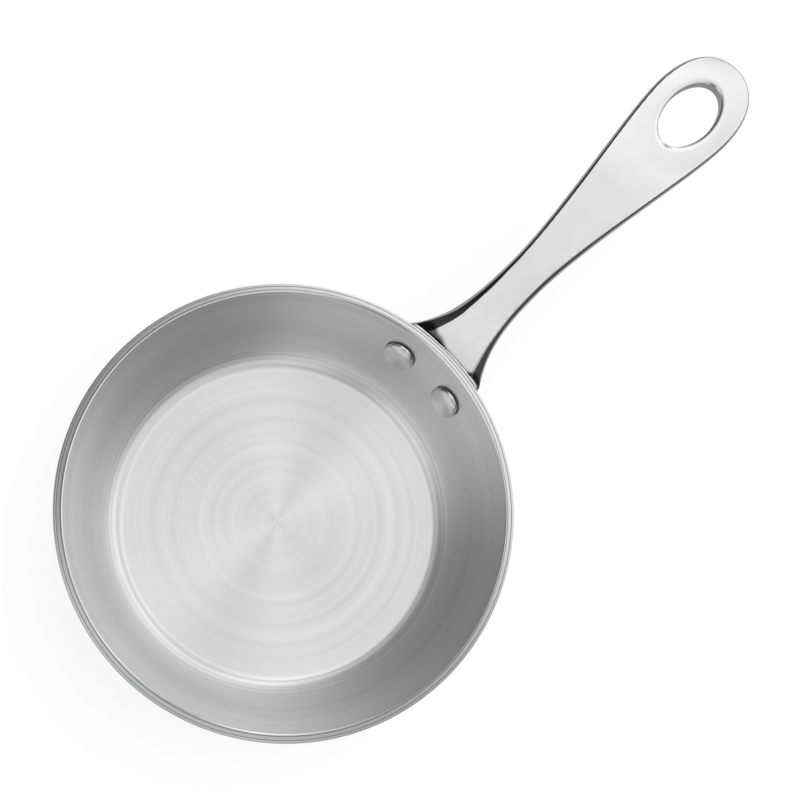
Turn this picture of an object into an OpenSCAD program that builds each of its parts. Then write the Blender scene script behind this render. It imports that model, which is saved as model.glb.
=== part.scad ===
// Small round omelette pan of three-layer clad steel with a cast handle held by two rivets.
// Origin: centre of the underside. +Z is up and the handle points along +X.

/* [Pan body] */
// Outer diameter of the rim
rim_d = 120; // [100:1:200]
// Height of the rim's highest edge above the table
pan_h = 28.5; // [24:0.5:40]
// Slope of the wall from the horizontal, in degrees
wall_slope = 64; // [58:1:72]
// Radius of the inside corner between base and wall
corner_r = 6.5; // [4:0.5:10]
// Bevel along the two edges of the cut rim
rim_bevel = 0.25; // [0.1:0.05:0.35]

/* [Clad layers] */
// Thickness of the stainless cooking skin
inner_t = 0.5; // [0.4:0.1:1]
// Thickness of the aluminium core
core_t = 1.4; // [0.8:0.1:2.5]
// Thickness of the magnetic stainless outer skin
outer_t = 0.8; // [0.4:0.1:1.5]

/* [Rivets] */
// Distance down the wall from the rim to the rivets
rivet_drop = 10.2; // [9.9:0.1:12]
// Half the distance between the rivets, round the wall
rivet_half_gap = 8.7; // [8:0.1:9.5]
// Diameter of the shanks
shank_d = 4.2; // [3:0.1:5]
// Diameter of the domed heads inside the pan
head_d = 8.8; // [7:0.1:10]
// Height of the domed heads at their middle
head_h = 1.7; // [1:0.1:2.5]
// Height of the straight edge under each dome
head_edge = 0.5; // [0.2:0.05:0.6]
// Diameter of the heads formed on the outside
tail_d = 5.8; // [5.4:0.1:6.6]
// Height of the heads formed on the outside
tail_h = 1.2; // [0.8:0.1:2]
// Room between a shank and its hole, on the radius
hole_fit = 0.03; // [0:0.01:0.1]
// Room between pieces that are seated on each other
seat_fit = 0.02; // [0:0.01:0.1]

/* [Mounting plate] */
// Width of the plate round the wall
plate_w = 28; // [26:0.5:34]
// Height of the plate along the wall
plate_h = 15; // [14:0.5:18]
// Thickness of the plate
plate_t = 2.2; // [1.8:0.1:2.8]
// Distance down the wall from the rim to the plate
plate_drop = 1.9; // [1.4:0.1:2.4]
// Radius of the plate's corners
plate_corner = 4.5; // [2:0.5:6]

/* [Handle plan] */
// Reach of the handle beyond the rim
reach = 106.4; // [90:0.2:160]
// Half width of the root, where it leaves the plate
root_half_w = 12.2; // [11:0.1:12.6]
// Distance from the rim to the neck, the narrowest place
neck_at = 28.6; // [24:0.2:36]
// Half width of the neck
neck_half_w = 5.7; // [4.5:0.1:7]
// Distance from the widest place to the tip
lobe_l = 17.6; // [15:0.2:24]
// Half width at the widest place
lobe_half_w = 12.5; // [11:0.1:15]

/* [Handle profile] */
// Height of the top face at the root, below the rim's highest edge
root_below = 4.6; // [4.2:0.1:5]
// Height of the top face at the tip, above the rim's highest edge
tip_above = 17.5; // [5:0.5:30]
// Slope of the top face at the root, in degrees
root_slope = 24; // [10:1:32]
// Slope of the top face at the tip, in degrees
tip_slope = 3; // [0:1:8]
// Thickness of the root at its edges
root_t = 2.8; // [2.6:0.1:3]
// Thickness of the handle at the neck and beyond
blade_t = 3.8; // [3.2:0.1:5]
// Extra depth in the middle of the root's underside
root_keel = 3.8; // [2:0.1:4.2]
// Extra depth in the middle of the underside at the neck and beyond
blade_keel = 0.5; // [0.1:0.1:1]
// Radius of the edges all round, up to half the thickness
edge_r = 1.6; // [0.8:0.1:1.6]

/* [Hang hole] */
// Length of the hole, along the handle
hole_l = 20; // [14:0.2:22]
// Width of the hole
hole_w = 13; // [8:0.2:15]
// Distance from the hole's middle to the tip
hole_to_tip = 18.2; // [16:0.2:22]
// Radius of the hole's top and bottom edges
hole_edge_r = 1; // [0.5:0.1:1.4]

/* [Hidden] */

ARC = 180; // Segments of the large circles
SMALL = 48; // Segments of the small circles
CURVE = 12; // Samples along each curve of the outline
ROUND = 4; // Spans across each rounded edge
ACROSS = 6; // Spans across the underside
HOLE_PTS = 40; // Points round the hang hole
OVER = 3; // How far cutters reach past what they cut
LIP_FIRST = 15; // Angle at which the hole's rounding meets the faces, in degrees

// Pulls of the plan's curves, as shares of the curve's length, or of the half width at the tip
ROOT_PULL = [0.26, -0.18];
NECK_PULL = [0.47, 0.29];
WIDE_PULL = [0.19, 0.64];
TIP_PULL = 0.6;

wall_t = inner_t + core_t + outer_t;
rim_r = rim_d / 2;
sin_w = sin(wall_slope);
cos_w = cos(wall_slope);

// The rim is cut square to the leaning wall, so its outer edge is lower than its inner one
rim_z = pan_h - wall_t * cos_w;

// A place in the wall's cross-section: down from the rim, and out from the cooking surface
function on_wall(down, out) = [
    rim_r - (wall_t - out) * sin_w - down * cos_w,
    rim_z + (wall_t - out) * cos_w - down * sin_w
];

// Centre of the arcs that turn every layer from the base into the wall
rim_in = on_wall(0, 0);
corner_z = wall_t + corner_r;
corner_x = rim_in[0] + ((corner_z - rim_in[1]) * cos_w - corner_r) / sin_w;
function corner_end(out) = [corner_x, corner_z] + (corner_r + out) * [sin_w, -cos_w];

// Half of a cross-section filled up to the surface that lies out from the cooking surface,
// with the given points at the top of its wall
module filled_2d(out, top) {
    polygon(concat([[0, wall_t - out], [corner_x, wall_t - out], corner_end(out)], top));
    translate([corner_x, corner_z]) circle(corner_r + out, $fn = ARC);
}

// One layer of the clad sheet, turned about the pan's axis, from a to b out of the cooking surface
module layer(a, b, bevel_a = 0, bevel_b = 0) {
    outside = [on_wall(bevel_b, b), on_wall(0, b - bevel_b), on_wall(0, 0), [0, pan_h]];
    inside = [
        on_wall(bevel_a, a),
        on_wall(0, a + bevel_a),
        on_wall(-OVER, a + bevel_a),
        [0, pan_h + OVER]
    ];
    difference() {
        rotate_extrude($fn = ARC)
            difference() {
                filled_2d(b, outside);
                filled_2d(a, inside);
            }
        rivet_holes();
    }
}

// The rivets stand square to the wall. At each, +Z points into the pan from the cooking surface
rivet_place = on_wall(rivet_drop, 0);
rivet_turn = rivet_half_gap / rivet_place[0] * 180 / PI;
module at_rivet(side) {
    rotate([0, 0, side * rivet_turn])
        translate([rivet_place[0], 0, rivet_place[1]])
            rotate([0, -wall_slope, 0]) children();
}

module rivet_holes() {
    for (side = [-1, 1])
        at_rivet(side)
            translate([0, 0, -wall_t - plate_t - OVER])
                cylinder(d = shank_d + 2 * hole_fit, h = wall_t + plate_t + 2 * OVER, $fn = SMALL);
}

// Solid inside of the cone that runs along the wall at the given distance out, to below the rivets and plate
cone_drop = 2 * rivet_drop;
module cone_inside(out) {
    low = on_wall(cone_drop, out);
    high = on_wall(-OVER, out);
    rotate_extrude($fn = ARC)
        polygon([[0, low[1]], low, high, [0, high[1]]]);
}

module rivet(side) {
    dome_h = head_h - head_edge;
    dome_r = (head_d * head_d / 4 + dome_h * dome_h) / (2 * dome_h);
    seat = wall_t + plate_t + seat_fit;
    tail_edge = tail_h / 3;
    color("silver") union() {
        intersection() {
            cone_inside(-seat_fit);
            at_rivet(side) {
                translate([0, 0, -head_h]) cylinder(d = head_d, h = head_h + head_edge, $fn = SMALL);
                intersection() {
                    translate([0, 0, head_h - dome_r]) sphere(dome_r, $fn = ARC);
                    cylinder(d = head_d, h = head_h, $fn = SMALL);
                }
            }
        }
        at_rivet(side)
            translate([0, 0, -seat - tail_h / 2])
                cylinder(d = shank_d, h = seat + tail_h / 2 + head_edge, $fn = SMALL);
        difference() {
            at_rivet(side)
                translate([0, 0, -seat - tail_h])
                    rotate_extrude($fn = SMALL)
                        polygon([
                            [0, 0],
                            [tail_d / 2 - tail_edge, 0],
                            [tail_d / 2, tail_edge],
                            [tail_d / 2, tail_h + plate_t / 2],
                            [0, tail_h + plate_t / 2]
                        ]);
            cone_inside(seat);
        }
    }
}

// A point of a cubic curve from p[0] to p[3], pulled towards p[1] and p[2]
function bezier(p, t) =
    pow(1 - t, 3) * p[0] + 3 * pow(1 - t, 2) * t * p[1] + 3 * (1 - t) * t * t * p[2] + pow(t, 3) * p[3];
function curve(p, first) = [for (i = [first : CURVE]) bezier(p, i / CURVE)];

// A value that leaves a with slope sa and reaches b with slope sb over the length l
function blend(a, b, sa, sb, l, u) =
    let (u2 = u * u, u3 = u2 * u)
    a * (2 * u3 - 3 * u2 + 1) + b * (3 * u2 - 2 * u3) + l * (sa * (u3 - 2 * u2 + u) + sb * (u3 - u2));

tip_x = rim_r + reach;
root_x = rim_r + 1;
neck_x = rim_r + neck_at;
wide_x = tip_x - lobe_l;
hole_x = tip_x - hole_to_tip;
root_z = pan_h - root_below;
tip_z = pan_h + tip_above;

// Heights along the handle. Inside the plate the root runs level
function top_z(x) =
    blend(root_z, tip_z, tan(root_slope), tan(tip_slope), tip_x - root_x, max(0, x - root_x) / (tip_x - root_x));
function past_root(x) = min(1, max(0, x - root_x) / (neck_x - root_x));
function thick(x) = blend(root_t, blade_t, 0, 0, 1, past_root(x));
function keel(x) = blend(root_keel, blade_keel, 0, 0, 1, past_root(x));
function round_r(x) = min(edge_r, thick(x) / 2);

// Half of the handle's outline in plan, from inside the wall to the tip: fanned root, waist, round end
fan_l = neck_x - root_x;
waist_l = wide_x - neck_x;
side = concat(
    [[root_x - 3 * plate_t, root_half_w], [root_x - plate_t, root_half_w]],
    curve([
        [root_x, root_half_w],
        [root_x, root_half_w] + fan_l * ROOT_PULL,
        [neck_x - NECK_PULL[0] * fan_l, neck_half_w],
        [neck_x, neck_half_w]
    ], 0),
    curve([
        [neck_x, neck_half_w],
        [neck_x + NECK_PULL[1] * waist_l, neck_half_w],
        [wide_x - WIDE_PULL[0] * waist_l, lobe_half_w],
        [wide_x, lobe_half_w]
    ], 1),
    curve([
        [wide_x, lobe_half_w],
        [wide_x + WIDE_PULL[1] * lobe_l, lobe_half_w],
        [tip_x, TIP_PULL * lobe_half_w],
        [tip_x, 0]
    ], 1)
);
LAST = len(side) - 1;
outline = concat(side, [for (i = [LAST - 1 : -1 : 0]) [side[i][0], -side[i][1]]]);
COUNT = len(outline);

// The outline moved inwards by d, square to itself, and the ends of the root straight across
function outward(j) =
    j == 0 ? [0, 1] :
    j == COUNT - 1 ? [0, -1] :
    let (d = outline[j + 1] - outline[j - 1])
    [-d[1], d[0]] / norm(d);
function inset(j, d) = outline[j] - d * outward(j);

// Rings from the top face round the edge to the underside, each as [inset, from the top, from the bottom]
rings = concat(
    [for (k = [0 : ROUND]) let (a = 90 - k * 90 / ROUND) [1 - cos(a), 1 - sin(a), 0]],
    [for (k = [0 : ROUND]) let (a = k * 90 / ROUND) [1 - cos(a), 0, 1 - sin(a)]]
);
function ring_point(k, j) =
    let (
        r = round_r(outline[j][0]),
        p = inset(j, r * rings[k][0]),
        top = top_z(p[0]),
        z = k <= ROUND ? top - r * rings[k][1] : top - thick(p[0]) + r * rings[k][2]
    )
    [p[0], p[1], z];

// The underside is deepest along its middle line
function under_point(i, m) =
    let (
        p = ring_point(2 * ROUND + 1, i),
        f = 1 - 2 * m / ACROSS
    )
    [p[0], f * p[1], p[2] - keel(p[0]) * pow(1 - f * f, 3)];

module blade() {
    RINGS = len(rings);
    points = concat(
        [for (k = [0 : RINGS - 1]) for (j = [0 : COUNT - 1]) ring_point(k, j)],
        [for (i = [0 : LAST - 1]) for (m = [1 : ACROSS - 1]) under_point(i, m)]
    );
    function at(k, j) = k * COUNT + j;
    function under(i, m) =
        m == 0 ? at(RINGS - 1, i) :
        m == ACROSS ? at(RINGS - 1, COUNT - 1 - i) :
        RINGS * COUNT + i * (ACROSS - 1) + m - 1;
    edge = [
        for (k = [0 : RINGS - 2])
            for (j = [0 : COUNT - 2])
                for (f = [
                    [at(k, j), at(k + 1, j + 1), at(k, j + 1)],
                    [at(k, j), at(k + 1, j), at(k + 1, j + 1)]
                ]) f
    ];
    top = [
        for (i = [0 : LAST - 1])
            i == LAST - 1
                ? [at(0, i), at(0, LAST), at(0, COUNT - 1 - i)]
                : [at(0, i), at(0, i + 1), at(0, COUNT - 2 - i), at(0, COUNT - 1 - i)]
    ];
    bottom = [
        for (i = [0 : LAST - 2])
            for (m = [0 : ACROSS - 1])
                for (f = [
                    [under(i, m), under(i + 1, m + 1), under(i + 1, m)],
                    [under(i, m), under(i, m + 1), under(i + 1, m + 1)]
                ]) f
    ];
    tip = [for (m = [0 : ACROSS - 1]) [under(LAST - 1, m), under(LAST - 1, m + 1), at(RINGS - 1, LAST)]];
    root = [concat(
        [for (k = [0 : RINGS - 1]) at(k, COUNT - 1)],
        [for (m = [ACROSS - 1 : -1 : 1]) under(0, m)],
        [for (k = [RINGS - 1 : -1 : 0]) at(k, 0)]
    )];
    polyhedron(points, concat(edge, top, bottom, tip, root), convexity = 6);
}

// Tool that opens the oval hole and rounds its top and bottom edges
module hole_tool() {
    turns = [for (k = [0 : ROUND]) LIP_FIRST + k * (90 - LIP_FIRST) / ROUND];
    lip = hole_edge_r * (1 - sin(LIP_FIRST)) + OVER / 2;
    levels = concat(
        [[lip, OVER, 0], [lip, OVER / 2 * tan(LIP_FIRST), 0]],
        [for (a = turns) [hole_edge_r * (1 - sin(a)), -hole_edge_r * (1 - cos(a)), 0]],
        [for (i = [ROUND : -1 : 0]) [hole_edge_r * (1 - sin(turns[i])), hole_edge_r * (1 - cos(turns[i])), 1]],
        [[lip, -OVER / 2 * tan(LIP_FIRST), 1], [lip, -OVER, 1]]
    );
    rows = len(levels);
    points = [
        for (l = levels)
            for (i = [0 : HOLE_PTS - 1])
                let (
                    a = i * 360 / HOLE_PTS,
                    x = hole_x + (hole_l / 2 + l[0]) * cos(a),
                    y = (hole_w / 2 + l[0]) * sin(a)
                )
                [x, y, top_z(x) - l[2] * (thick(x) + blade_keel / 2) + l[1]]
    ];
    faces = [
        for (k = [0 : rows - 2])
            for (i = [0 : HOLE_PTS - 1])
                let (n = (i + 1) % HOLE_PTS, a = k * HOLE_PTS, b = a + HOLE_PTS)
                for (f = [[a + i, a + n, b + n], [a + i, b + n, b + i]]) f
    ];
    lid = [for (i = [HOLE_PTS - 1 : -1 : 0]) i];
    floor = [for (i = [0 : HOLE_PTS - 1]) (rows - 1) * HOLE_PTS + i];
    polyhedron(points, concat(faces, [lid, floor]), convexity = 6);
}

// Plate with round corners that follows the wall
module plate() {
    flat_w = plate_w - 2 * plate_corner;
    flat_h = plate_h - 2 * plate_corner;
    middle = on_wall(plate_drop + plate_h / 2, wall_t);
    intersection() {
        difference() {
            cone_inside(wall_t + plate_t);
            cone_inside(wall_t + seat_fit);
        }
        translate([middle[0], 0, middle[1]])
            rotate([0, 180 - wall_slope, 0])
                translate([0, 0, -plate_t])
                    linear_extrude(3 * plate_t) {
                        square([plate_h, flat_w], center = true);
                        square([flat_h, plate_w], center = true);
                        for (x = [-0.5, 0.5])
                            for (y = [-0.5, 0.5])
                                translate([x * flat_h, y * flat_w]) circle(plate_corner, $fn = SMALL);
                    }
    }
}

module inner_ply() {
    color("gainsboro") layer(0, inner_t, bevel_a = rim_bevel);
}

module core() {
    color("lightgray") layer(inner_t, inner_t + core_t);
}

module outer_ply() {
    color("silver") layer(inner_t + core_t, wall_t, bevel_b = rim_bevel);
}

module handle() {
    color("whitesmoke") difference() {
        union() {
            plate();
            difference() {
                blade();
                hole_tool();
            }
        }
        cone_inside(wall_t + seat_fit);
        rivet_holes();
    }
}

module rivet_left() {
    rivet(1);
}

module rivet_right() {
    rivet(-1);
}

inner_ply();
core();
outer_ply();
handle();
rivet_left();
rivet_right();
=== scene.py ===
import math

import bpy
import numpy as np
from mathutils import Matrix, Vector


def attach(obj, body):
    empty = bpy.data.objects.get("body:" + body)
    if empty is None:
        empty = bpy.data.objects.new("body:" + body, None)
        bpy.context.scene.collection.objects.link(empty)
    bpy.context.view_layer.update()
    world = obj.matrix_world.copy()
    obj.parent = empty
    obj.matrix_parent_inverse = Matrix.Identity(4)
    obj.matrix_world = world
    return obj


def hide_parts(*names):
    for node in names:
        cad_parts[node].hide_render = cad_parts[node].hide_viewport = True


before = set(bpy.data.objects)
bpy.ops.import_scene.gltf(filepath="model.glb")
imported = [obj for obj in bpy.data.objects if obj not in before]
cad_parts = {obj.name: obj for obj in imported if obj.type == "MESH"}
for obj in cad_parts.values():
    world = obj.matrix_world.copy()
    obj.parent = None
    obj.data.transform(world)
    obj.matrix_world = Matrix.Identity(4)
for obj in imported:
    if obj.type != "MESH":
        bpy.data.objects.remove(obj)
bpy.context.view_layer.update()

# All shapes are worked out in millimetres and scaled to metres when a mesh is made
MM = 0.001

# Camera, in the photograph's frame of 800 by 800 pixels
PHOTO_SIZE = 800
SENSOR = 36
FOCAL_PX = 2701
RIM_CENTRE_PX = (286.15, 510.6)
HANDLE_TURN = math.radians(44.72)   # The handle's direction in the picture
CAMERA_DISTANCE = 700
CAMERA_TILT = math.radians(9.02)
CAMERA_AZIMUTH = math.radians(186.18)
CAMERA_CLIP = (0.01, 20)            # In metres

# Pan body
RIM_R = 60
PAN_H = 28.5
WALL_SLOPE = math.radians(64)
CORNER_R = 6.5
RIM_BEVEL = 0.25
INNER_T = 0.5
CORE_T = 1.4
OUTER_T = 0.8
WALL_T = INNER_T + CORE_T + OUTER_T
SEAM_R = 0.12        # Rounding of the layers' edges along the seams in the rim
CORE_DIP = 0.06      # How far the softer core lies below the rim

# Rivets
RIVET_DROP = 10.2
RIVET_HALF_GAP = 8.7
SHANK_R = 2.1
HEAD_R = 4.4
HEAD_H = 1.7
HEAD_ROUND = 0.68    # Radius of the round edge of the inside heads
TAIL_R = 2.9
TAIL_H = 1.2
TAIL_SUPPORT = 0.05  # A row of points this far below the tail's seat keeps its edge sharp
HOLE_FIT = 0.03
SEAT_FIT = 0.02
SHADE_BELOW = 0.3     # How far below the cooking surface the painted shade round a head reaches

# Mounting plate
PLATE_W = 28
PLATE_H = 15
PLATE_T = 2.2
PLATE_DROP = 1.9
PLATE_CORNER = 4.5

# Handle
REACH = 106.4
ROOT_HALF_W = 12.5
NECK_AT = 28.6
NECK_HALF_W = 5.5
LOBE_L = 17.6
LOBE_HALF_W = 12.35
ROOT_BELOW = 4.6
TIP_ABOVE = 17.5
ROOT_SLOPE = math.tan(math.radians(24))
TIP_SLOPE = math.tan(math.radians(3))
ROOT_T = 2.8
BLADE_T = 3.8
ROOT_KEEL = 3.8
BLADE_KEEL = 0.5
HOLE_L = 20
HOLE_W = 13
HOLE_TO_TIP = 18.2

# Pulls of the curves in the handle's outline, as shares of the fan's or the waist's length, or of the end's
# length and half width
ROOT_PULL = 0.26
ROOT_NARROWING = 0.208   # How much the outline narrows over that pull
NECK_PULL = 0.47
WAIST_PULL = 0.29
WIDE_PULL = 0.19
END_PULL = 0.64
TIP_PULL = 0.6

# Crown of the lobe, from this share of the way between the hole's middle and the outline
CROWN_FROM = 0.65
CROWN_H = 0.12

SIN_W, COS_W = math.sin(WALL_SLOPE), math.cos(WALL_SLOPE)
RIM_Z = PAN_H - WALL_T * COS_W
TIP_X = RIM_R + REACH
ROOT_X = RIM_R + 1
NECK_X = RIM_R + NECK_AT
WIDE_X = TIP_X - LOBE_L
HOLE_X = TIP_X - HOLE_TO_TIP

# Edges of the casting. At these places along the handle, they have these widths of the top edge's bevel and
# of the steeper strip below it, and this slope of the bevel in degrees.
EDGE_AT = (ROOT_X, ROOT_X + 4, ROOT_X + 9, ROOT_X + 13, ROOT_X + 17, NECK_X, NECK_X + 32, WIDE_X, TIP_X)
BEVEL_LEFT = (3.7, 3.2, 2.65, 2.0, 1.65, 1.1, 0.86, 0.68, 0.5)
BEVEL_RIGHT = (2.85, 2.1, 1.5, 1.2, 1.15, 1.1, 0.74, 0.52, 0.45)
BEVEL_SLOPE = (32, 33, 35, 38, 40, 40, 40, 40, 40)
BEVEL_R = 0.1
STRIP_LEFT = (0.8, 0.8, 0.9, 0.65, 0.5, 0.38, 0.32, 0.32, 0.3)
STRIP_RIGHT = (0.45, 0.42, 0.38, 0.33, 0.3, 0.25, 0.22, 0.22, 0.25)
STRIP_SLOPE = math.radians(30)   # On top of the bevel's slope
SIDE_R = 0.25                    # Rounding between that strip and the side
UNDER_R = 0.6
ROLL_AT = 61.8                   # Radius at which the top face starts to fall to the plate
ROLL_SLOPE = math.radians(25)
LIP_R = 0.45                     # Height of the rounding into the hang hole
LIP_ACROSS = 1.5                 # Its width
LIP_EDGE_R = 0.12
PLATE_EDGE_R = 0.15
FILLET_R = 0.3
SEAT_EDGE_R = 0.25
RIVET_HOLE_EDGE_R = 0.1

# Fineness of the meshes
SECTORS = 384
BASE_SPANS = 24
CORNER_STEPS = 24
WALL_SPANS = 36
BEVEL_STEPS = 3
SEAM_STEPS = 4
DOWN_THE_WALL = 3    # A place this far below the rim gives the wall's direction
RIVET_SECTORS = 96
DOME_STEPS = 24
HEAD_EDGE_STEPS = 14
TAIL_EDGE_STEPS = 8
CUT_SECTORS = 48
FAN_STEPS = 60
WAIST_STEPS = 90
END_STEPS = 80
CELL = 0.28          # Spacing of the lattice that the casting is meshed on
SETTLE_ROUNDS = 4    # How often its points are moved onto the surface
CHUNK = 20000        # Points whose distance from the outline is worked out at once
PROBE = 0.05         # Step over which slopes are measured
TINY = 1e-9
NEAR_AXIS = 1e-3     # Keeps divisions by a radius finite


def on_wall(down, out):
    """A place (radius, height) in the wall: down from the rim, and out from the cooking surface."""
    return (
        RIM_R - (WALL_T - out) * SIN_W - down * COS_W,
        RIM_Z + (WALL_T - out) * COS_W - down * SIN_W,
    )


CORNER_Z = WALL_T + CORNER_R
CORNER_X = on_wall(0, 0)[0] + ((CORNER_Z - on_wall(0, 0)[1]) * COS_W - CORNER_R) / SIN_W
RIVET_PLACE = on_wall(RIVET_DROP, 0)
RIVET_TURN = RIVET_HALF_GAP / RIVET_PLACE[0]


# Camera
def make_camera():
    toward = Vector((
        math.cos(CAMERA_AZIMUTH) * math.sin(CAMERA_TILT),
        math.sin(CAMERA_AZIMUTH) * math.sin(CAMERA_TILT),
        math.cos(CAMERA_TILT),
    ))
    picture_up = Vector((math.sin(HANDLE_TURN), math.cos(HANDLE_TURN), 0))
    right = (-toward).cross(picture_up).normalized()
    facing = Matrix((right, right.cross(-toward), toward)).transposed()
    half = PHOTO_SIZE / 2
    to_centre = Vector((RIM_CENTRE_PX[0] - half, half - RIM_CENTRE_PX[1], -FOCAL_PX)).normalized()
    turn = to_centre.rotation_difference(Vector((0, 0, -1))).to_matrix()
    data = bpy.data.cameras.new("camera")
    data.sensor_width = SENSOR
    data.lens = SENSOR * FOCAL_PX / PHOTO_SIZE
    data.clip_start, data.clip_end = CAMERA_CLIP
    cam = bpy.data.objects.new("camera", data)
    place = (Vector((0, 0, RIM_Z)) + CAMERA_DISTANCE * toward) * MM
    cam.matrix_world = Matrix.Translation(place) @ (facing @ turn).to_4x4()
    bpy.context.scene.collection.objects.link(cam)
    bpy.context.scene.camera = cam


# Meshes
def new_piece(name, points, faces, stands_for, normals=None):
    mesh = bpy.data.meshes.new(name)
    mesh.from_pydata((np.asarray(points, float) * MM).tolist(), [], faces)
    mesh.validate()
    mesh.shade_smooth()
    if normals is not None:
        mesh.normals_split_custom_set_from_vertices(np.asarray(normals).tolist())
    piece = bpy.data.objects.new(name, mesh)
    bpy.context.scene.collection.objects.link(piece)
    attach(piece, "root")
    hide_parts(stands_for)
    return piece


def lathe_mesh(loop, sectors):
    """Points and faces of an outline of (radius, height), turned about the axis. Radius 0 makes a pole."""
    turns = np.arange(sectors) * 2 * math.pi / sectors
    points, rows = [], []
    for radius, height in loop:
        if radius < TINY:
            rows.append([len(points)] * sectors)
            points.append((0, 0, height))
        else:
            rows.append(list(range(len(points), len(points) + sectors)))
            points.extend((radius * math.cos(t), radius * math.sin(t), height) for t in turns)
    faces = []
    for a, b in zip(rows, rows[1:]):
        for i in range(sectors):
            j = (i + 1) % sectors
            corners = [a[i], a[j], b[j], b[i]]
            face = [c for k, c in enumerate(corners) if c != corners[k - 1]]
            if len(face) > 2:
                faces.append(face)
    return points, faces


def fillet(before, at, after, radius, steps, support=0.04):
    """Points that round the corner at the middle point, with one close support point on each side."""
    p, q, s = Vector(before), Vector(at), Vector(after)
    u, v = (p - q).normalized(), (s - q).normalized()
    half = u.angle(v) / 2
    reach = radius / math.tan(half)
    centre = q + (u + v).normalized() * radius / math.sin(half)
    start, end = q + u * reach - centre, q + v * reach - centre
    sweep = start.angle_signed(end)
    arc = [centre + Matrix.Rotation(-sweep * k / steps, 2) @ start for k in range(steps + 1)]
    return [tuple(q + u * (reach + support))] + [tuple(a) for a in arc] + [tuple(q + v * (reach + support))]


def straight(a, b, spans):
    """Points strictly between a and b."""
    return [(a[0] + (b[0] - a[0]) * k / spans, a[1] + (b[1] - a[1]) * k / spans) for k in range(1, spans)]


# The pan's layers
def surface_line(out, wall_end):
    """A layer's surface from the middle of the base to near the rim."""
    middle, edge = (0, WALL_T - out), (CORNER_X, WALL_T - out)
    line = [middle] + straight(middle, edge, BASE_SPANS)
    for k in range(CORNER_STEPS + 1):
        a = WALL_SLOPE * k / CORNER_STEPS
        line.append((
            CORNER_X + (CORNER_R + out) * math.sin(a),
            CORNER_Z - (CORNER_R + out) * math.cos(a),
        ))
    return line + straight(line[-1], wall_end, WALL_SPANS)


def ply_loop(a, b, bevel_a, bevel_b, dip):
    """Outline of the layer between the distances a and b out of the cooking surface, with its rounded rim."""
    low_a, low_b = on_wall(bevel_a + dip, a), on_wall(bevel_b + dip, b)
    top_a, top_b = on_wall(dip, a + bevel_a), on_wall(dip, b - bevel_b)
    far_a, far_b = on_wall(DOWN_THE_WALL, a), on_wall(DOWN_THE_WALL, b)
    rim = []
    if bevel_a:
        rim += fillet(far_a, low_a, top_a, SEAM_R / 2, BEVEL_STEPS)
        rim += fillet(low_a, top_a, top_b, SEAM_R / 2, BEVEL_STEPS)
    else:
        rim += fillet(far_a, top_a, top_b, SEAM_R, SEAM_STEPS)
    if bevel_b:
        rim += fillet(top_a, top_b, low_b, SEAM_R / 2, BEVEL_STEPS)
        rim += fillet(top_b, low_b, far_b, SEAM_R / 2, BEVEL_STEPS)
    else:
        rim += fillet(top_a, top_b, far_b, SEAM_R, SEAM_STEPS)
    return surface_line(a, low_a) + rim + surface_line(b, low_b)[::-1]


def rivet_frame(side):
    """Turn and place of a rivet: local +Z points into the pan from the cooking surface."""
    place = Matrix.Translation((RIVET_PLACE[0], 0, RIVET_PLACE[1]))
    return Matrix.Rotation(side * RIVET_TURN, 4, "Z") @ place @ Matrix.Rotation(-WALL_SLOPE, 4, "Y")


def drill(piece):
    """Cuts the two rivet holes."""
    cutters = []
    hole_r, above, below = SHANK_R + HOLE_FIT, 3, -8
    for side in (-1, 1):
        points, faces = lathe_mesh([(0, above), (hole_r, above), (hole_r, below), (0, below)], CUT_SECTORS)
        mesh = bpy.data.meshes.new("cutter")
        mesh.from_pydata([rivet_frame(side) @ Vector(p) * MM for p in points], [], faces)
        mesh.validate()
        cutter = bpy.data.objects.new("cutter", mesh)
        bpy.context.scene.collection.objects.link(cutter)
        cutters.append(cutter)
        cut = piece.modifiers.new("hole", "BOOLEAN")
        cut.operation = "DIFFERENCE"
        cut.solver = "EXACT"
        cut.object = cutter
    bpy.context.view_layer.update()
    done = bpy.data.meshes.new_from_object(piece.evaluated_get(bpy.context.evaluated_depsgraph_get()))
    piece.modifiers.clear()
    old = piece.data
    piece.data = done
    done.name = piece.name
    done.shade_smooth()
    bpy.data.meshes.remove(old)
    for cutter in cutters:
        bpy.data.objects.remove(cutter)


def make_ply(name, node, a, b, bevel_a=0, bevel_b=0, dip=0):
    points, faces = lathe_mesh(ply_loop(a, b, bevel_a, bevel_b, dip), SECTORS)
    piece = new_piece(name, points, faces, node)
    drill(piece)
    return piece


# Signed fields: each is (value, gradient), negative inside the metal
def both(a, b, r):
    """What is inside a and b, with the edge between them rounded to radius r."""
    (fa, ga), (fb, gb) = a, b
    u, v = np.maximum(fa + r, 0), np.maximum(fb + r, 0)
    long = np.hypot(u, v)
    corner = (u > 0) & (v > 0)
    safe = np.where(corner, long, 1)
    value = np.where(corner, long - r, np.maximum(fa, fb))
    grad = np.where(
        corner[:, None],
        (u[:, None] * ga + v[:, None] * gb) / safe[:, None],
        np.where((fa > fb)[:, None], ga, gb),
    )
    return value, grad


def negative(a):
    return -a[0], -a[1]


def either(a, b, r):
    """What is inside a or b, with a fillet of radius r where they meet."""
    return negative(both(negative(a), negative(b), r))


def axis_field(value, x=0.0, y=0.0, z=0.0):
    """A field from its values and the three parts of its gradient."""
    grad = np.empty((len(value), 3))
    grad[:, 0], grad[:, 1], grad[:, 2] = x, y, z
    return value, grad


# The handle's outline in plan
def bezier(p, steps):
    t = np.linspace(0, 1, steps + 1)[:, None]
    p = np.array(p)
    return (1 - t) ** 3 * p[0] + 3 * (1 - t) ** 2 * t * p[1] + 3 * (1 - t) * t ** 2 * p[2] + t ** 3 * p[3]


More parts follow.
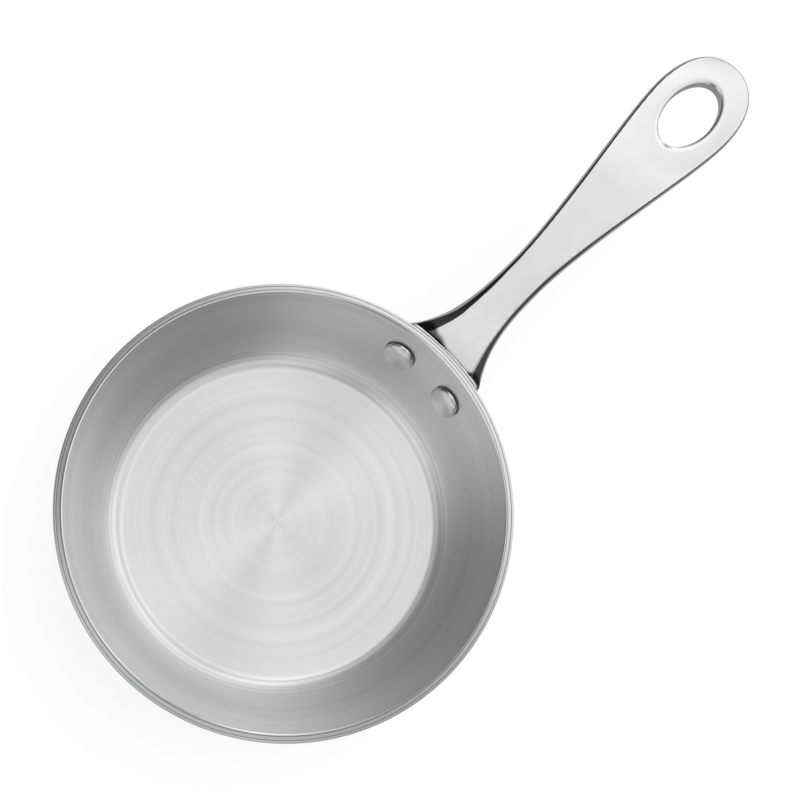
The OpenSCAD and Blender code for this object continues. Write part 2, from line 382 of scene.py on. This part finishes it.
def half_outline():
    """One side of the handle in plan: fanned root, waist and round end."""
    fan, waist = NECK_X - ROOT_X, WIDE_X - NECK_X
    return np.concatenate([
        [[ROOT_X - 3 * PLATE_T, ROOT_HALF_W]],
        bezier([
            (ROOT_X, ROOT_HALF_W),
            (ROOT_X + ROOT_PULL * fan, ROOT_HALF_W - ROOT_NARROWING * fan),
            (NECK_X - NECK_PULL * fan, NECK_HALF_W),
            (NECK_X, NECK_HALF_W),
        ], FAN_STEPS),
        bezier([
            (NECK_X, NECK_HALF_W),
            (NECK_X + WAIST_PULL * waist, NECK_HALF_W),
            (WIDE_X - WIDE_PULL * waist, LOBE_HALF_W),
            (WIDE_X, LOBE_HALF_W),
        ], WAIST_STEPS)[1:],
        bezier([
            (WIDE_X, LOBE_HALF_W),
            (WIDE_X + END_PULL * LOBE_L, LOBE_HALF_W),
            (TIP_X, TIP_PULL * LOBE_HALF_W),
            (TIP_X, 0),
        ], END_STEPS)[1:],
    ])


OUTLINE = half_outline()
TIP_ROW = OUTLINE[:, 0].argmax()
EDGE = np.diff(OUTLINE, axis=0)
EDGE_NORMAL = np.stack([-EDGE[:, 1], EDGE[:, 0]], 1) / np.linalg.norm(EDGE, axis=1)[:, None]
POINT_NORMAL = np.concatenate([[[0, 1]], EDGE_NORMAL[:-1] + EDGE_NORMAL[1:], [[1, 0]]])
POINT_NORMAL /= np.linalg.norm(POINT_NORMAL, axis=1)[:, None]


def outline_field(x, y):
    """Distance from the handle's outline in plan, with smooth normals between the outline's points."""
    value, grad = np.empty(len(x)), np.zeros((len(x), 3))
    start = OUTLINE[:-1]
    length2 = (EDGE ** 2).sum(1)
    for lo in range(0, len(x), CHUNK):
        px, py = x[lo:lo + CHUNK, None], np.abs(y[lo:lo + CHUNK, None])
        t = ((px - start[:, 0]) * EDGE[:, 0] + (py - start[:, 1]) * EDGE[:, 1]) / length2
        t = np.clip(t, 0, 1)
        dx, dy = px - start[:, 0] - t * EDGE[:, 0], py - start[:, 1] - t * EDGE[:, 1]
        near = (dx * dx + dy * dy).argmin(1)
        rows = np.arange(len(near))
        t, dx, dy = t[rows, near, None], dx[rows, near], dy[rows, near]
        normal = POINT_NORMAL[near] * (1 - t) + POINT_NORMAL[near + 1] * t
        normal /= np.linalg.norm(normal, axis=1)[:, None]
        value[lo:lo + CHUNK] = dx * normal[:, 0] + dy * normal[:, 1]
        grad[lo:lo + CHUNK, :2] = normal
    grad[:, 1] *= np.where(y < 0, -1, 1)
    return value, grad


# The handle's heights
def hermite(a, b, sa, sb, length, u):
    """Curve from a to b with the slopes sa and sb at its ends."""
    return (
        a * (2 * u ** 3 - 3 * u ** 2 + 1) + b * (3 * u ** 2 - 2 * u ** 3)
        + length * (sa * (u ** 3 - 2 * u ** 2 + u) + sb * (u ** 3 - u ** 2))
    )


def top_z(x):
    """Height of the top face along the middle."""
    length = TIP_X - ROOT_X
    u = np.clip((x - ROOT_X) / length, 0, 1)
    return hermite(PAN_H - ROOT_BELOW, PAN_H + TIP_ABOVE, ROOT_SLOPE, TIP_SLOPE, length, u)


def top_face(x, y):
    """Height of the top face, gently crowned round the hole."""
    ring = np.hypot((x - HOLE_X) / HOLE_TO_TIP, y / LOBE_HALF_W)
    fall = np.clip((ring - CROWN_FROM) / (1 - CROWN_FROM), 0, 1) ** 2
    u = np.clip((x - HOLE_X + HOLE_L) / HOLE_L, 0, 1)
    return top_z(x) - CROWN_H * fall * u * u * (3 - 2 * u)


def along(x, at_root, at_neck):
    """A value that passes smoothly from the root's to the neck's."""
    return hermite(at_root, at_neck, 0, 0, 1, np.clip((x - ROOT_X) / (NECK_X - ROOT_X), 0, 1))


def under_z(x, y):
    """Height of the underside, with its keel."""
    half = np.interp(x, OUTLINE[:TIP_ROW, 0], OUTLINE[:TIP_ROW, 1])
    f = np.clip(y / np.maximum(half, 1), -1, 1)
    return top_z(x) - along(x, ROOT_T, BLADE_T) - along(x, ROOT_KEEL, BLADE_KEEL) * (1 - f * f) ** 3


def above_field(x, y, z, height, sign):
    """Signed distance above (sign 1) or below (sign -1) a height given over the plan."""
    sx = (height(x + PROBE, y) - height(x - PROBE, y)) / (2 * PROBE)
    sy = (height(x, y + PROBE) - height(x, y - PROBE)) / (2 * PROBE)
    k = sign / np.sqrt(1 + sx * sx + sy * sy)
    return (z - height(x, y)) * k, np.stack([-sx * k, -sy * k, k], 1)


def along_edge(x, values):
    """Smooth curve through the values given at the places of EDGE_AT."""
    at, values = np.array(EDGE_AT), np.array(values)
    step = np.diff(values) / np.diff(at)
    slope = np.concatenate([[0], np.where(step[:-1] * step[1:] > 0, (step[:-1] + step[1:]) / 2, 0), [0]])
    k = np.clip(np.searchsorted(at, x) - 1, 0, len(at) - 2)
    length = at[k + 1] - at[k]
    u = np.clip((x - at[k]) / length, 0, 1)
    return hermite(values[k], values[k + 1], slope[k], slope[k + 1], length, u)


# The casting, as one field
def facet(top, away, start, slope):
    """Bevel that leaves the top face where the field away reaches start, and falls at this slope."""
    s, c = np.sin(slope), np.cos(slope)
    return (away[0] - start) * s + top[0] * c, away[1] * s[:, None] + top[1] * c[:, None]


def blade_field(x, y, z, r, plan):
    """The handle outside the plate, with its bevels, but without the hole."""
    top = above_field(x, y, z, top_face, 1)
    under = above_field(x, y, z, under_z, -1)
    bevel_w = np.where(y > 0, along_edge(x, BEVEL_LEFT), along_edge(x, BEVEL_RIGHT))
    strip_w = np.where(y > 0, along_edge(x, STRIP_LEFT), along_edge(x, STRIP_RIGHT))
    bevel = facet(top, plan, -bevel_w, np.radians(along_edge(x, BEVEL_SLOPE)))
    strip = facet(bevel, plan, -strip_w, np.full(len(x), STRIP_SLOPE))
    roll = facet(top, axis_field(-r, -x / r, -y / r, 0), -ROLL_AT, np.full(len(x), ROLL_SLOPE))
    blade = top
    for face in (bevel, strip, roll):
        blade = both(blade, face, BEVEL_R)
    return both(blade, both(plan, under, UNDER_R), SIDE_R)


def cut_hang_hole(blade, x, y):
    """Oval hole, with rounded lips."""
    ex, ey = (x - HOLE_X) / (HOLE_L / 2), y / (HOLE_W / 2)
    k = np.maximum(np.hypot(ex, ey), NEAR_AXIS)
    gx, gy = ex / (HOLE_L / 2) / k, ey / (HOLE_W / 2) / k
    steep = np.hypot(gx, gy)
    hole = axis_field((1 - k) / steep, -gx / steep, -gy / steep)
    lip = LIP_ACROSS / LIP_R
    blade = both(blade, (hole[0] / lip, hole[1] / lip), LIP_R)
    return both(blade, hole, LIP_EDGE_R)


def handle_field(p, plan=None):
    """The whole casting: blade and plate, cut to the wall and drilled for the rivets."""
    x, y, z = p[:, 0], p[:, 1], p[:, 2]
    r = np.hypot(x, y)
    cx, cy = x / r, y / r
    blade = cut_hang_hole(blade_field(x, y, z, r, plan or outline_field(x, y)), x, y)
    out = WALL_T + (r - RIM_R) * SIN_W - (z - RIM_Z) * COS_W
    down = -((x - RIM_R) * COS_W + (z - RIM_Z) * SIN_W) - PLATE_DROP - PLATE_H / 2
    side_y = axis_field(np.abs(y) - PLATE_W / 2, 0, np.sign(y), 0)
    side_down = axis_field(np.abs(down) - PLATE_H / 2, -COS_W * np.sign(down), 0, -SIN_W * np.sign(down))
    face = axis_field(out - WALL_T - PLATE_T, cx * SIN_W, cy * SIN_W, -COS_W)
    plate = both(both(side_y, side_down, PLATE_CORNER), face, PLATE_EDGE_R)
    whole = either(blade, plate, FILLET_R)
    seat = axis_field(WALL_T + SEAT_FIT - out, -cx * SIN_W, -cy * SIN_W, COS_W)
    whole = both(whole, seat, SEAT_EDGE_R)
    for side in (-1, 1):
        back = np.array(rivet_frame(side).inverted())
        local = p @ back[:3, :3].T + back[:3, 3]
        rho = np.maximum(np.hypot(local[:, 0], local[:, 1]), NEAR_AXIS)
        away = np.stack([local[:, 0] / rho, local[:, 1] / rho, 0 * rho], 1) @ back[:3, :3]
        whole = both(whole, (SHANK_R + HOLE_FIT - rho, -away), RIVET_HOLE_EDGE_R)
    return whole


def net(field, plan, span, lo, hi, cell):
    """Meshes the zero surface of a field: one point in each lattice cell that it crosses, moved onto it.

    The plan's own field is worked out once for each column, and span gives the heights to look between.
    """
    counts = [int(math.ceil((b - a) / cell)) + 1 for a, b in zip(lo, hi)]
    axes = [a + cell * np.arange(n) for a, n in zip(lo, counts)]
    value = np.ones(counts)
    for i, x in enumerate(axes[0]):
        low, high = span(x)
        near = (axes[2] > low) & (axes[2] < high)
        y, z = np.meshgrid(axes[1], axes[2][near], indexing="ij")
        p = np.stack([np.full(y.size, x), y.ravel(), z.ravel()], 1)
        distance, away = plan(np.full(len(axes[1]), x), axes[1])
        columns = np.repeat(distance, near.sum()), np.repeat(away, near.sum(), axis=0)
        value[i][:, near] = field(p, columns)[0].reshape(y.shape)
    total = np.zeros([n - 1 for n in counts])
    place = np.zeros([n - 1 for n in counts] + [3])
    sides = []
    for axis in range(3):
        cut = [slice(None)] * 3
        cut[axis] = slice(0, -1)
        a = value[tuple(cut)]
        cut[axis] = slice(1, None)
        b = value[tuple(cut)]
        crosses = (a < 0) != (b < 0)
        where = np.argwhere(crosses)
        va, vb = a[crosses], b[crosses]
        point = where.astype(float)
        point[:, axis] += va / (va - vb)
        sides.append((axis, where, va < 0))
        others = [k for k in range(3) if k != axis]
        for da in (0, -1):
            for db in (0, -1):
                cell_at = where.copy()
                cell_at[:, others[0]] += da
                cell_at[:, others[1]] += db
                ok = ((cell_at >= 0) & (cell_at < total.shape)).all(1)
                at = tuple(cell_at[ok].T)
                np.add.at(total, at, 1)
                np.add.at(place, at, point[ok])
    used = total > 0
    number = np.full(total.shape, -1)
    number[used] = np.arange(used.sum())
    points = np.array(lo) + cell * place[used] / total[used][:, None]
    faces = []
    for axis, where, leaving in sides:
        o1, o2 = (axis + 1) % 3, (axis + 2) % 3
        ring = []
        for da, db in ((-1, -1), (0, -1), (0, 0), (-1, 0)):
            at = where.copy()
            at[:, o1] += da
            at[:, o2] += db
            ring.append(number[tuple(at.T)])
        ring = np.stack(ring, 1)
        ring[~leaving] = ring[~leaving][:, ::-1]
        faces.append(ring)
    for _ in range(SETTLE_ROUNDS):
        f, g = field(points)
        step = f[:, None] * g / np.maximum((g * g).sum(1), 0.25)[:, None]
        size = np.linalg.norm(step, axis=1)[:, None]
        points -= step * np.minimum(1, cell / 2 / np.maximum(size, TINY))
    normals = field(points)[1]
    normals /= np.linalg.norm(normals, axis=1)[:, None]
    return points, np.concatenate(faces).tolist(), normals


def make_handle():
    plate_foot, room, bottom = on_wall(PLATE_DROP + PLATE_H, WALL_T)[0], 1, 9.5
    lo = (plate_foot - 2 * room, -PLATE_W / 2 - room, bottom)
    hi = (TIP_X + room, PLATE_W / 2 + room, PAN_H + TIP_ABOVE + 1.2 * room)

    def span(x):
        if x < ROOT_X + 2 * PLATE_T:
            return lo[2], hi[2]
        return float(under_z(x, 0)) - 1.5 * room, float(top_z(x)) + 1.5 * room

    points, faces, normals = net(handle_field, outline_field, span, lo, hi, CELL)
    return new_piece("handle_casting", points, faces, "handle", normals)


# Rivets
def wall_depth(points, out):
    """Local height at which lines along a rivet's axis meet the surface at the given distance out."""
    place = np.array(rivet_frame(0))
    height = np.zeros(len(points))
    for _ in range(3):
        local = np.column_stack([points, height])
        world = local @ place[:3, :3].T + place[:3, 3]
        r = np.hypot(world[:, 0], world[:, 1])
        height += WALL_T + (r - RIM_R) * SIN_W - (world[:, 2] - RIM_Z) * COS_W - out
    return height


def rivet_loop(seat):
    """Half outline: shallow dome on a full round edge, shank, and the low button formed on the outside."""
    edge_x = HEAD_R - HEAD_ROUND
    rise = HEAD_H - 2 * HEAD_ROUND
    dome_r = (edge_x ** 2 + rise ** 2) / (2 * rise)
    sweep = math.asin(edge_x / dome_r)
    loop = []
    for k in range(DOME_STEPS):
        a = sweep * k / DOME_STEPS
        loop.append((dome_r * math.sin(a), HEAD_H - dome_r * (1 - math.cos(a))))
    for k in range(HEAD_EDGE_STEPS):
        a = sweep + (math.pi - sweep) * k / HEAD_EDGE_STEPS
        loop.append((edge_x + HEAD_ROUND * math.sin(a), HEAD_ROUND + HEAD_ROUND * math.cos(a)))
    loop += [(edge_x, 0), (SHANK_R, 0), (SHANK_R, -seat), (TAIL_R, -seat), (TAIL_R, -seat - TAIL_SUPPORT)]
    foot = -seat - TAIL_H
    loop += fillet((TAIL_R, -seat), (TAIL_R, foot), (0, foot), TAIL_H / 2, TAIL_EDGE_STEPS)
    return loop + [(TAIL_R / 3, foot), (0, foot)]


def make_rivet(name, node, side):
    """A rivet, and which of its faces take the painted shade in the seam round its head."""
    seat = WALL_T + PLATE_T + SEAT_FIT
    points, faces = lathe_mesh(rivet_loop(seat), RIVET_SECTORS)
    points = np.array(points)
    # The head's edge follows the wall, and the tail's seat follows the plate
    head = points[:, 2] > -TINY
    share = np.clip(1 - points[head, 2] / (2 * HEAD_ROUND), 0, 1)
    points[head, 2] += share * wall_depth(points[head, :2], -SEAT_FIT)
    on_plate = np.abs(points[:, 2] + seat) < TINY
    points[on_plate, 2] = wall_depth(points[on_plate, :2], seat)
    place = np.array(rivet_frame(side))
    turn, origin = place[:3, :3], place[:3, 3]
    points = points @ turn.T + origin
    faces = [face[::-1] for face in faces]
    piece = new_piece(name, points, faces, node)
    middles = np.array([p.center[:] for p in piece.data.polygons]) / MM
    local = middles @ turn - origin @ turn
    # Faces in the crevice round the head, which get painted shade
    low = (local[:, 2] > -SHADE_BELOW) & (local[:, 2] < HEAD_ROUND)
    return piece, low & (np.hypot(local[:, 0], local[:, 1]) > SHANK_R)


make_camera()
inner = make_ply("cooking_skin", "inner_ply", 0, INNER_T, bevel_a=RIM_BEVEL)
core = make_ply("core_layer", "core", INNER_T, INNER_T + CORE_T, dip=CORE_DIP)
outer = make_ply("outer_skin", "outer_ply", INNER_T + CORE_T, WALL_T, bevel_b=RIM_BEVEL)
handle = make_handle()
rivets = [make_rivet("rivet_set_left", "rivet_left", 1), make_rivet("rivet_set_right", "rivet_right", -1)]


# Materials
def grey(value):
    return (value, value, value, 1)


class Nodes:
    """A node tree with short ways to add nodes."""

    def __init__(self, tree):
        self.tree = tree
        tree.nodes.clear()

    def add(self, kind, inputs=None, **values):
        node = self.tree.nodes.new("ShaderNode" + kind)
        for key, value in values.items():
            setattr(node, key, value)
        for key, value in (inputs or {}).items():
            self.put(node.inputs[key], value)
        return node

    def put(self, socket, value):
        if isinstance(value, bpy.types.NodeSocket):
            self.tree.links.new(value, socket)
        else:
            socket.default_value = value

    def math(self, operation, *values):
        node = self.add("Math", operation=operation)
        for k, value in enumerate(values):
            self.put(node.inputs[k], value)
        return node.outputs[0]

    def plus(self, a, b):
        return self.math("ADD", a, b)

    def minus(self, a, b):
        return self.math("SUBTRACT", a, b)

    def times(self, a, b):
        return self.math("MULTIPLY", a, b)

    def noise(self, vector, scale, detail):
        return self.add("TexNoise", {"Vector": vector, "Scale": scale, "Detail": detail}).outputs["Fac"]

    def spread(self, value, from_lo, from_hi, lo=0.0, hi=1.0, smooth=False):
        node = self.add("MapRange", interpolation_type="SMOOTHSTEP" if smooth else "LINEAR", inputs={
            "Value": value, "From Min": from_lo, "From Max": from_hi, "To Min": lo, "To Max": hi})
        return node.outputs[0]

    def rise(self, value, start, end, lo=0.0, hi=1.0):
        """Passes smoothly from lo to hi."""
        return self.spread(value, start, end, lo, hi, smooth=True)

    def fade(self, value, start, end, hi=1.0):
        """Passes smoothly from hi to 0."""
        return self.spread(value, start, end, hi, 0.0, smooth=True)

    def mix(self, share, a, b):
        node = self.add("Mix", data_type="RGBA")
        for k, value in ((0, share), (6, a), (7, b)):
            self.put(node.inputs[k], value)
        return node.outputs[2]

    def radius(self, x, y):
        """Distance from the pan's axis."""
        return self.math("SQRT", self.plus(self.times(x, x), self.times(y, y)))

    def down(self, radius, z):
        """Distance below the rim, along the wall."""
        across = self.times(self.minus(radius, RIM_R * MM), -COS_W)
        return self.plus(across, self.times(self.minus(z, RIM_Z * MM), -SIN_W))

    def bump(self, height, distance):
        return self.add("Bump", {"Height": height, "Distance": distance}).outputs[0]


class Look(Nodes):
    """A material with a Principled shader."""

    def __init__(self, name, colour):
        self.mat = bpy.data.materials.new(name)
        self.mat.use_nodes = True
        super().__init__(self.mat.node_tree)
        self.bsdf = self.add("BsdfPrincipled", {"Base Color": (*colour, 1), "Metallic": 1.0})
        self.add("OutputMaterial", {"Surface": self.bsdf.outputs[0]})

    def set(self, **values):
        for key, value in values.items():
            self.put(self.bsdf.inputs[key.replace("_", " ")], value)


# Brushing. Lengths in the materials are in metres, unless MM follows them.
DRIFT = 0.0005                    # How far the grain wanders along a circle
GRAIN_LEVELS = (0.3, 0.7)         # One noise's usual lowest and highest level
TWO_GRAINS_LEVELS = (0.7, 1.3)    # The same for two noises added
GRAIN_TONES = (0.93, 1.05)        # Colour of the darkest and lightest grain, against the metal's
GRAIN_ROUGHNESS = 0.05            # How much the roughness goes up and down
RIM_POLISHED = (0.25, 0.5)        # Depths below the rim, in mm, between which the polished edge ends

# Coarser grooves where the base turns into the wall: the radii between which they start and end
RIPPLE_IN = (0.0405, 0.0425)
RIPPLE_OUT = (0.0445, 0.0475)
RIPPLE_SCALE = 1000
RIPPLE_LEVELS = (0.45, 0.6)
RIPPLE_LIGHT, RIPPLE_DARK = grey(0.97), grey(0.25)

# Painted shade: radii round the middle of the wall where the colour is a little darker: its start, full
# strength and end
WALL_SHADE = (0.0465, 0.0503, 0.0550)
WALL_SHADE_SHARE = 0.15
WALL_SHADE_DARK = grey(0.3)

# Painted shade along the seams between the layers: depth of the core's middle under the outer skin, and the
# distances in mm from a seam between which the shade starts and is full
CORE_MID = OUTER_T + CORE_T / 2
SEAM_FADE = (0.35, 0.15)
SEAM_SHADE = grey(0.1)


def ringed_base(look, tone, radius, vector, ripple):
    """The cooking side's colour, with a band of painted shade on the wall and the grooves round the base."""
    # Painted shade: a darker band round the middle of the wall
    wall_shade = look.times(look.rise(radius, *WALL_SHADE[:2]), look.fade(radius, *WALL_SHADE[1:]))
    tone = look.mix(look.times(wall_shade, WALL_SHADE_SHARE), tone, WALL_SHADE_DARK)
    near = look.times(look.rise(radius, *RIPPLE_IN), look.fade(radius, *RIPPLE_OUT))
    rings = look.spread(look.noise(vector, RIPPLE_SCALE, 3), *RIPPLE_LEVELS)
    tone = look.mix(near, tone, RIPPLE_LIGHT)
    return look.mix(look.times(look.times(near, rings), ripple), tone, RIPPLE_DARK)


def seam_shaded_edge(look, tone, radius, z, seam_shade_share):
    """The core's colour at the rim, with painted shade along its two seams."""
    across = look.times(look.minus(radius, (RIM_R - CORE_MID / SIN_W) * MM), SIN_W)
    out = look.plus(across, look.times(look.minus(z, RIM_Z * MM), -COS_W))
    # Painted shade along the two seams
    edge = look.rise(look.math("ABSOLUTE", out), *[(CORE_T / 2 - d) * MM for d in SEAM_FADE])
    return look.mix(look.times(edge, seam_shade_share), tone, SEAM_SHADE)


def turned_steel(name, colour, roughness, anisotropy, grain, depth, rim_roughness=0, ripple=0, seam_shade_share=0):
    """Steel brushed on a lathe: fine grain that runs in circles, and a highlight spread across it."""
    look = Look(name, colour)
    x, y, z = look.add("SeparateXYZ", {0: look.add("TexCoord").outputs["Object"]}).outputs
    radius = look.radius(x, y)
    drift = look.times(look.math("SINE", look.math("ARCTAN2", y, x)), DRIFT)
    vector = look.add("CombineXYZ", {0: radius, 1: z, 2: drift}).outputs[0]
    fine = look.noise(vector, grain, 3)
    broad = look.noise(vector, grain / 4, 2)
    smoothest, roughest = roughness - GRAIN_ROUGHNESS, roughness + GRAIN_ROUGHNESS
    rough = look.spread(look.plus(fine, broad), *TWO_GRAINS_LEVELS, smoothest, roughest)
    if rim_roughness:
        below = look.rise(look.down(radius, z), *[d * MM for d in RIM_POLISHED])
        rough = look.plus(look.times(below, rough), look.times(look.minus(1.0, below), rim_roughness))
    dark, light = [(*[min(1, c * tone) for c in colour], 1) for tone in GRAIN_TONES]
    tone = look.mix(look.spread(fine, *GRAIN_LEVELS), dark, light)
    if ripple:
        tone = ringed_base(look, tone, radius, vector, ripple)
    if seam_shade_share:
        tone = seam_shaded_edge(look, tone, radius, z, seam_shade_share)
    look.set(Base_Color=tone, Roughness=rough, Anisotropic=anisotropy, Anisotropic_Rotation=0.25)
    look.set(Tangent=look.add("Tangent", direction_type="RADIAL", axis="Z").outputs[0])
    look.set(Normal=look.bump(fine, depth))
    return look.mat


# Painted shade: darker colour in the corner between the handle and its plate, and in the gap under the rim,
# where shade falls
PAINTED_SHADE = grey(0.12)

# The corner's painted shade: the radii between which it starts and ends
CORNER_START = (0.06105, 0.06125)
CORNER_END = (0.0620, 0.0637)

# Its end moves out towards the handle's two sides. Each row has two places across the handle, positive to the
# left, and how far out the end has moved at each of them.
CORNER_MOVES = (
    (-0.0005, 0.005, -0.0019, 0.0),
    (0.005, 0.0085, 0.0, 0.0017),
    (-0.0062, -0.0095, 0.0, 0.0024),
)

# The strip on the left side stays clear of it: the places across the handle between which the darkness ends
# at the root, and how fast they move in along the handle
STRIP_START = (0.0112, 0.0116)
STRIP_LEAN = 0.62

# The gap's painted shade: the depths below the rim between which it ends, and the radii between which it
# falls to the share that is left on top of the plate, and then to nothing
GAP_DEPTH = (0.0035, 0.0038)
GAP_END = (0.0602, 0.0605)
TOP_END = (0.06075, 0.06083)
TOP_SHADE_SHARE = 0.7

# The lobe's colour is a little darker than the rest of the handle's, from this distance along it
LOBE_FROM = (0.122, 0.15)
LOBE_DARKENING = 0.84


def shade_and_lobe_tone(look, coords, colour):
    """Colour of the casting: painted shade in the corner and in the gap, and a little darker on the lobe."""
    x, y, z = look.add("SeparateXYZ", {0: coords}).outputs
    radius = look.radius(x, y)
    moved = radius
    for start, end, at_start, at_end in CORNER_MOVES:
        moved = look.minus(moved, look.rise(y, start, end, at_start, at_end))
    # Painted shade in the corner between the handle and its plate
    corner = look.times(look.rise(radius, *CORNER_START), look.fade(moved, *CORNER_END))
    side = look.plus(y, look.times(look.minus(x, ROOT_X * MM), STRIP_LEAN))
    corner = look.times(corner, look.fade(side, *STRIP_START))
    # Painted shade in the gap under the rim, with a share of it left on top of the plate
    gap = look.plus(look.fade(radius, *GAP_END, 1 - TOP_SHADE_SHARE), look.fade(radius, *TOP_END, TOP_SHADE_SHARE))
    gap = look.times(gap, look.spread(look.down(radius, z), *GAP_DEPTH, 1.0, 0.0))
    lobe = look.mix(look.rise(x, *LOBE_FROM), (*colour, 1), (*[c * LOBE_DARKENING for c in colour], 1))
    return look.mix(look.math("MAXIMUM", corner, gap), lobe, PAINTED_SHADE)


# Polishing: the scale of the fine grain, and how far it moves the roughness down and up
POLISH_GRAIN = 900
POLISH_ROUGHNESS = (-0.02, 0.03)


def polished_steel(name, colour, roughness, slow_scale, waviness, casting=False):
    """Smooth steel with slow waves in its surface."""
    look = Look(name, colour)
    coords = look.add("TexCoord").outputs["Object"]
    # The casting's colour carries painted shade in the corner and the gap
    if casting:
        look.set(Base_Color=shade_and_lobe_tone(look, coords, colour))
    fine = look.noise(coords, POLISH_GRAIN, 3)
    look.set(Roughness=look.spread(fine, *GRAIN_LEVELS, *[roughness + d for d in POLISH_ROUGHNESS]))
    look.set(Normal=look.bump(look.noise(coords, slow_scale, 2), waviness))
    return look.mat


def dress(piece, mat):
    piece.data.materials.clear()
    piece.data.materials.append(mat)


dress(inner, turned_steel(
    "brushed_inside", (0.84, 0.84, 0.84), roughness=0.36, anisotropy=0.85, grain=1500, depth=0.00002,
    rim_roughness=0.1, ripple=0.35))
dress(core, turned_steel(
    "aluminium_edge", (0.93, 0.93, 0.94), roughness=0.5, anisotropy=0.5, grain=4000, depth=0.00003,
    seam_shade_share=0.6))
dress(outer, turned_steel(
    "satin_outside", (0.88, 0.88, 0.89), roughness=0.4, anisotropy=0.6, grain=2500, depth=0.00002))
dress(handle, polished_steel(
    "cast_polished", (0.88, 0.87, 0.872), roughness=0.06, slow_scale=45, waviness=0.0002, casting=True))
rivet_look = polished_steel(
    "rivet_polished", (0.82, 0.82, 0.83), roughness=0.1, slow_scale=300, waviness=0.00005)
# Painted shade: near-black faces in the crevice round each rivet head, where shade falls
rivet_shade_look = polished_steel(
    "rivet_painted_shade", (0.06, 0.06, 0.06), roughness=0.5, slow_scale=900, waviness=0.00002)
for piece, shade_faces in rivets:
    dress(piece, rivet_look)
    piece.data.materials.append(rivet_shade_look)
    piece.data.polygons.foreach_set("material_index", shade_faces.astype(np.int32))


# Light. The sky's level at these angles from straight above, each row round from the picture's right,
# anticlockwise as the picture shows it
STUDIO = 1.3
SKY = {
    0: [0.67],
    15: [0.86, 0.83, 1, 1, 0.87, 0.58, 0.5, 0.76, 0.4, 0.22, 0.72, 0.77],
    30: [1, 1, 1, 1, 0.18, 1, 0.89, 0.38, 0.27, 0.21, 0.17, 0.18,
         0.3, 0.53, 0.72, 0.65, 0, 0.05, 0.62, 0.58, 0.54, 0.55, 0.63, 0.88],
    45: [0.55, 0.55, 0.53, 0.72, 0.31, 0.95, 0.45, 0.14, 0.07, 0.05, 0.04, 0.05,
         0.2, 0.42, 0.52, 0.33, 0.02, 0.28, 0.5, 0.36, 0.24, 0.26, 0.35, 0.44],
    60: [0.6, 0.7, 0.63, 0.71, 0.85, 0.84, 0.56, 0.13, 0.05, 0.04, 0.05, 0.08,
         0.38, 0.5, 0.5, 0.4, 0.45, 0.6, 0.57, 0.14, 0.05, 0.05, 0.05, 0.23],
    90: [0.78, 1, 1, 0.31, 0, 0, 0.06, 0.3, 0.35, 0.1, 0.05, 0.05],
}


def make_world():
    world = bpy.data.worlds.new("studio")
    bpy.context.scene.world = world
    world.use_nodes = True
    look = Nodes(world.node_tree)
    white = look.add("Background", {0: grey(1)})
    coords = look.add("TexCoord").outputs["Generated"]
    turned = look.add("VectorRotate", {"Vector": coords, "Angle": HANDLE_TURN}, rotation_type="Z_AXIS")
    x, y, z = look.add("SeparateXYZ", {0: turned.outputs[0]}).outputs
    turn = look.math("ARCTAN2", look.times(y, -1.0), look.times(x, -1.0))
    share = look.spread(turn, -math.pi, math.pi)
    angle = look.math("ARCCOSINE", z)
    level, last = grey(SKY[0][0]), 0
    for height, row in list(SKY.items())[1:]:
        ramp = look.add("ValToRGB", {0: share})
        marks = ramp.color_ramp.elements
        marks[0].color = marks[1].color = grey(row[0])
        for k, value in enumerate(row[1:], 1):
            marks.new(k / len(row)).color = grey(value)
        up = look.spread(angle, math.radians(last), math.radians(height))
        level, last = look.mix(up, level, ramp.outputs[0]), height
    studio = look.add("Background", {0: level, 1: STUDIO})
    camera = look.add("LightPath").outputs["Is Camera Ray"]
    mix = look.add("MixShader", {0: camera, 1: studio.outputs[0], 2: white.outputs[0]})
    look.add("OutputWorld", {"Surface": mix.outputs[0]})


FLOOR_HALF = 3            # In metres, as is the next
FLOOR_Z = -0.0002
FLOOR_COLOUR = 0.4
FLOOR_GLOW = 0.8
FLOOR_MIRRORED = 0.15     # How much of the glow shows in metal


def make_floor():
    mesh = bpy.data.meshes.new("floor")
    corners = [(FLOOR_HALF * x, FLOOR_HALF * y, FLOOR_Z) for x, y in ((-1, -1), (1, -1), (1, 1), (-1, 1))]
    mesh.from_pydata(corners, [], [(0, 1, 2, 3)])
    floor = bpy.data.objects.new("floor", mesh)
    bpy.context.scene.collection.objects.link(floor)
    mat = bpy.data.materials.new("floor")
    mat.use_nodes = True
    look = Nodes(mat.node_tree)
    path = look.add("LightPath").outputs
    mirrored = look.plus(path["Is Glossy Ray"], path["Is Transmission Ray"])
    seen = look.plus(path["Is Camera Ray"], look.times(mirrored, FLOOR_MIRRORED))
    diffuse = look.add("BsdfDiffuse", {0: grey(FLOOR_COLOUR)})
    glow = look.add("Emission", {0: grey(1), 1: look.times(seen, FLOOR_GLOW)})
    whole = look.add("AddShader", {0: diffuse.outputs[0], 1: glow.outputs[0]})
    look.add("OutputMaterial", {"Surface": whole.outputs[0]})
    mesh.materials.append(mat)


make_world()
make_floor()

bpy.context.scene.view_settings.view_transform = "Standard"
